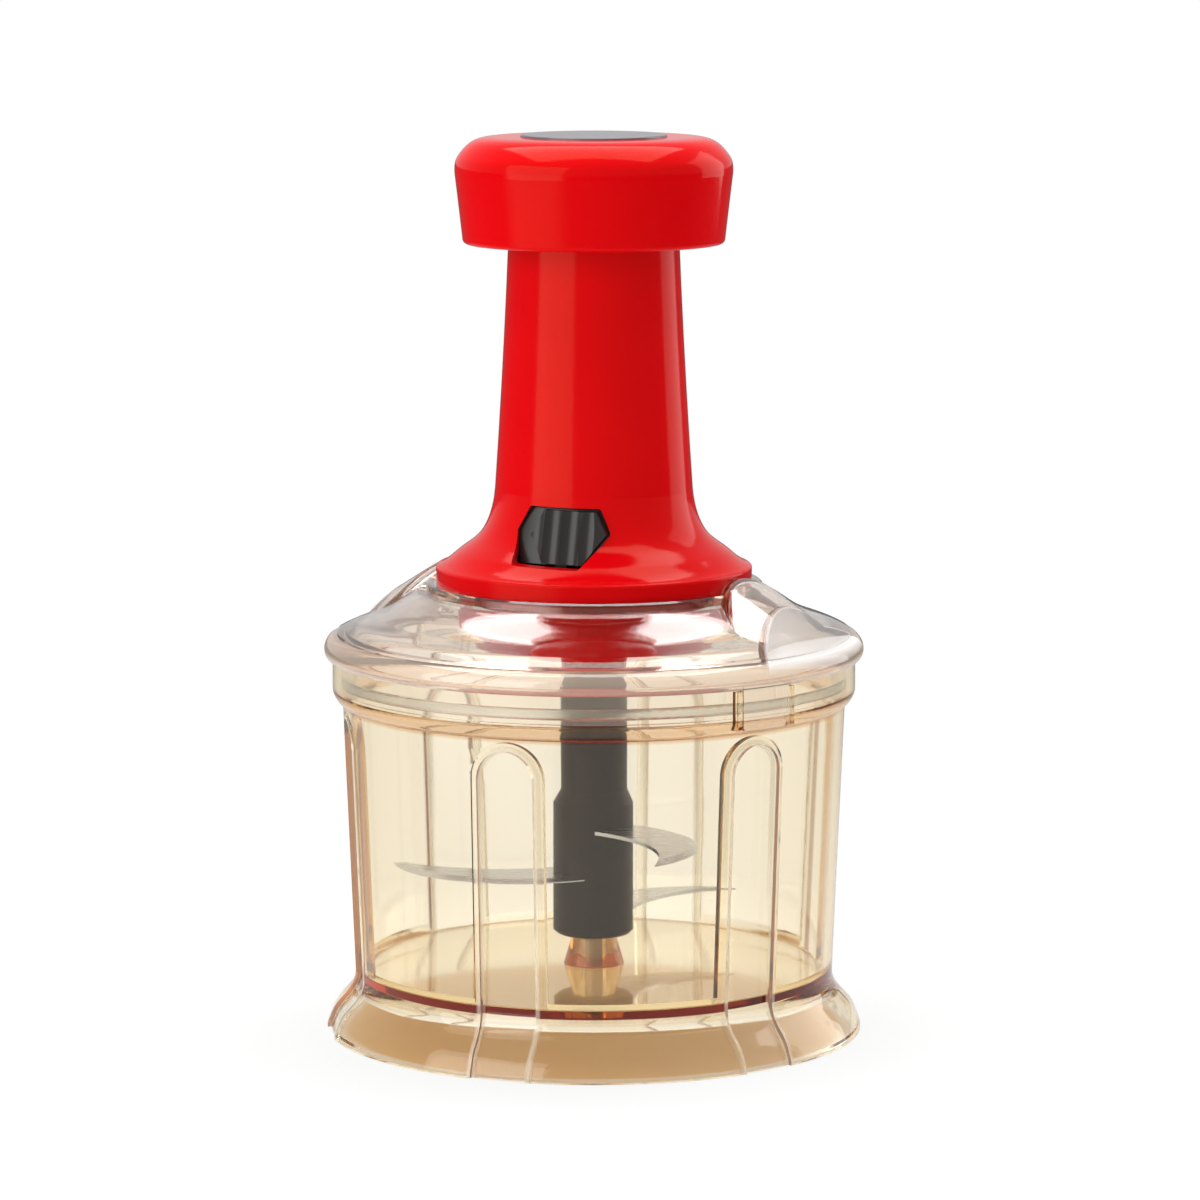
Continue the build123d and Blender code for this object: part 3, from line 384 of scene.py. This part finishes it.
blades = finished("blade_steel", "blade_lower", "blade_middle", "blade_upper")
rolled = blades.noise(700, 3, where=blades.stretched((0.06, 1, 1)))
clouding = blades.noise(45, 3)
blades.close(blades.surface(
    Base_Color=blades.mix(clouding, rgb(188, 189, 193), rgb(210, 211, 214)),
    Roughness=0.18 + 0.16 * rolled,
    Metallic=1.0,
    Normal=blades.bump(rolled, 0.12, 0.0002),
))


# ---------------------------------------------------------------- lid and gasket
# The same clear styrene, nearly free of the cast. Its two finger recesses are frosted for
# grip. The rim mixes in a pale surface, partly milky haze and partly painted light where
# long paths would go dark. A soft ring of clear silicone sits in the skirt's groove.

lid = finished("clear_lid", "lid")
lid_height = lid.along("Z")
lid_smear = lid.noise(35, 4)
blasted = lid.noise(2600, 2)

recess_azimuth = 62.0
recess_middle = 0.1046
recess_edge = (0.0458, 0.0468)
recess_foot = (0.108, 0.111)
recesses = []
for azimuth in (recess_azimuth, recess_azimuth + 180):
    turn = math.radians(azimuth)
    centre = (recess_middle * math.sin(turn), -recess_middle * math.cos(turn), 0)
    recesses.append(lid.spread(lid.distance(centre, on_plan), *recess_edge, 1.0, 0.0))
frost = (recesses[0] + recesses[1]) * lid.spread(lid_height, *recess_foot)
lid_walls = lid.surface(
    Base_Color=white,
    Roughness=0.02 + 0.03 * lid_smear + frost * 0.26,
    IOR=styrene_ior,
    Transmission_Weight=1.0,
    Coat_Weight=1.0,
    Coat_Roughness=0.1,
    Coat_IOR=1.6,
    Normal=lid.bump(blasted * frost, 0.25, 0.0003),
)

rim_start = (0.0705, 0.0735)
rim_foot = (0.1045, 0.1055)
frost_share, rim_share = 0.46, 0.3
lid_reach = lid.distance((0, 0, 0), on_plan)
# the rim's pale band is partly haze and partly painted light, where long paths would go dark
rim_haze_and_light = lid.spread(lid_reach, *rim_start) * lid.spread(lid_height, *rim_foot)
bloom = lid.surface(
    Base_Color=lid.mix(frost, rgb(238, 214, 190), (1, 0.99, 0.97, 1)),
    Roughness=0.7,
)
lid_surface = lid.blend(frost * frost_share + rim_haze_and_light * rim_share, lid_walls, bloom)
lid.close(lid_surface, depth_tint(lid, (0.86, 0.64, 0.45, 1)))

seal = finished("seal_silicone", "lid_gasket")
seal_haze = seal.noise(120, 3)
seal.close(seal.surface(
    Base_Color=(0.95, 0.95, 0.94, 1),
    Roughness=0.2 + 0.1 * seal_haze,
    IOR=1.41,
    Transmission_Weight=0.9,
))


# ---------------------------------------------------------------- dish and spindle
# A red dish screwed under the column closes it and carries the spindle's bearing. Zinc-
# plated screws and a spring clip hold it together.


def red_plastic(name, piece, light, dark, dull):
    """Glossy red plastic: a deep even colour, and a very slight ripple from the mould."""
    red = finished(name, piece)
    flow = red.noise(60, 3)
    ripple = red.noise(900, 2)
    red.close(red.surface(
        Base_Color=red.mix(flow, dark, light),
        Roughness=dull + 0.05 * flow,
        Specular_IOR_Level=0.13,
        Specular_Tint=(1, 0.68, 0.4, 1),
        Normal=red.bump(ripple, 0.03, 0.0003),
    ))


red_plastic("dish_red", "housing_base", rgb(216, 6, 14), rgb(206, 4, 12), dull=0.18)

plated = finished("screw_steel", "housing_screws", "spindle_clip", "knob_washer", "knob_screw")
spangle = plated.noise(260, 4)
plated.close(plated.surface(
    Base_Color=plated.mix(spangle, rgb(178, 179, 184), rgb(204, 205, 210)),
    Roughness=0.16 + 0.12 * spangle,
    Metallic=1.0,
    Normal=plated.bump(spangle, 0.06, 0.0002),
))


# ---------------------------------------------------------------- plunger tube and nut
# Natural white acetal, the usual choice where plastic runs on plastic: satin and a
# little waxy, with the faint flow marks of a thick moulding.

acetal = finished("inner_white", "plunger_tube", "drive_nut", "spring_seat")
wax = acetal.noise(70, 3)
acetal_grain = acetal.noise(1500, 2)
acetal.close(acetal.surface(
    Base_Color=acetal.mix(wax, rgb(226, 224, 217), rgb(238, 236, 230)),
    Roughness=0.38 + 0.1 * wax,
    Normal=acetal.bump(acetal_grain, 0.06, 0.0003),
))


# ---------------------------------------------------------------- return spring
# A compression spring of hard-drawn wire, coiled right-handed, with its end turns closed
# up. It stands on the seat in the tube; in the real chopper it shortens as the knob goes down,
# here it is built at one length.

spring_low, spring_high = [corner[2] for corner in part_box("return_spring")]
coil_radius = 0.0088
wire_radius = 0.0007
wire_sides = 10
turn_steps = 48
end_turns = 1.0
live_turns = 7.0
end_rise = 2.1 * wire_radius * end_turns
live_rise = spring_high - spring_low - 2 * wire_radius - 2 * end_rise
ring_count = int((live_turns + 2 * end_turns) * turn_steps) + 1


def coil_height(turns_up):
    """Height of the wire's centre after a number of turns from the bottom."""
    closed_low = min(turns_up, end_turns) / end_turns
    live = min(max(turns_up - end_turns, 0), live_turns) / live_turns
    closed_high = max(turns_up - end_turns - live_turns, 0) / end_turns
    return spring_low + wire_radius + (closed_low + closed_high) * end_rise + live * live_rise


wire_points = []
for ring in range(ring_count):
    turns_up = ring / turn_steps
    coil_turn = 2 * math.pi * turns_up
    centre_height = coil_height(turns_up)
    for side in range(wire_sides):
        lean = 2 * math.pi * side / wire_sides
        from_centre = coil_radius + wire_radius * math.cos(lean)
        wire_points.append((
            from_centre * math.cos(coil_turn),
            from_centre * math.sin(coil_turn),
            centre_height + wire_radius * math.sin(lean),
        ))
wire_faces = [tuple(range(wire_sides))]
for ring in range(ring_count - 1):
    for side in range(wire_sides):
        after = (side + 1) % wire_sides
        here, there = ring * wire_sides, (ring + 1) * wire_sides
        wire_faces.append((here + side, there + side, there + after, here + after))
last_ring = range((ring_count - 1) * wire_sides, ring_count * wire_sides)
wire_faces.append(tuple(reversed(last_ring)))
spring_mesh = bpy.data.meshes.new("coil_spring")
spring_mesh.from_pydata(wire_points, [], wire_faces)
spring_mesh.polygons.foreach_set("use_smooth", [True] * len(wire_faces))
spring = bpy.data.objects.new("coil_spring", spring_mesh)
scene.collection.objects.link(spring)

wire = Finish(bpy.data.materials.new("spring_wire"))
die_marks = wire.noise(1200, 3, where=wire.stretched((1, 1, 0.2)))
wire.close(wire.surface(
    Base_Color=wire.mix(die_marks, rgb(160, 161, 166), rgb(192, 193, 198)),
    Roughness=0.2 + 0.14 * die_marks,
    Metallic=1.0,
    Normal=wire.bump(die_marks, 0.08, 0.0002),
))
spring_mesh.materials.append(wire.owner)
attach(spring, "lid_unit")
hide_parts("return_spring")
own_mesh(spring)


# ---------------------------------------------------------------- column
# The column and its flange are one red moulding in glossy plastic, polished all over. The
# dish is screwed up into it from below, and the plunger tube runs inside it.

red_plastic("column_red", "housing", rgb(222, 6, 14), rgb(214, 4, 12), dull=0.1)


# ---------------------------------------------------------------- lock slider
# Near-black plastic with a fine spark-eroded grain, so fingers grip it; its bolt behind
# the column's skin is the same stock.

slider = finished("slider_black", "lock_button", "lock_bolt")
slider_mottle = slider.noise(80, 3)
slider_spark = slider.noise(2400, 2)
slider.close(slider.surface(
    Base_Color=slider.mix(slider_mottle, rgb(29, 25, 23), rgb(39, 35, 33)),
    Roughness=0.25 + 0.08 * slider_mottle,
    Normal=slider.bump(slider_spark, 0.12, 0.0003),
))


# ---------------------------------------------------------------- knob and disc
# The palm knob is the same glossy red as the column. A plain grey disc snaps into its
# top and covers the screw; its face is smooth and bright.

red_plastic("knob_red", "knob", rgb(224, 5, 14), rgb(216, 4, 12), dull=0.07)

disc = finished("disc_grey", "knob_badge")
disc_mottle = disc.noise(90, 3)
disc_grain = disc.noise(1800, 2)
disc.close(disc.surface(
    Base_Color=disc.mix(disc_mottle, rgb(110, 107, 112), rgb(122, 118, 123)),
    Roughness=0.16 + 0.07 * disc_mottle,
    Normal=disc.bump(disc_grain, 0.04, 0.0003),
))
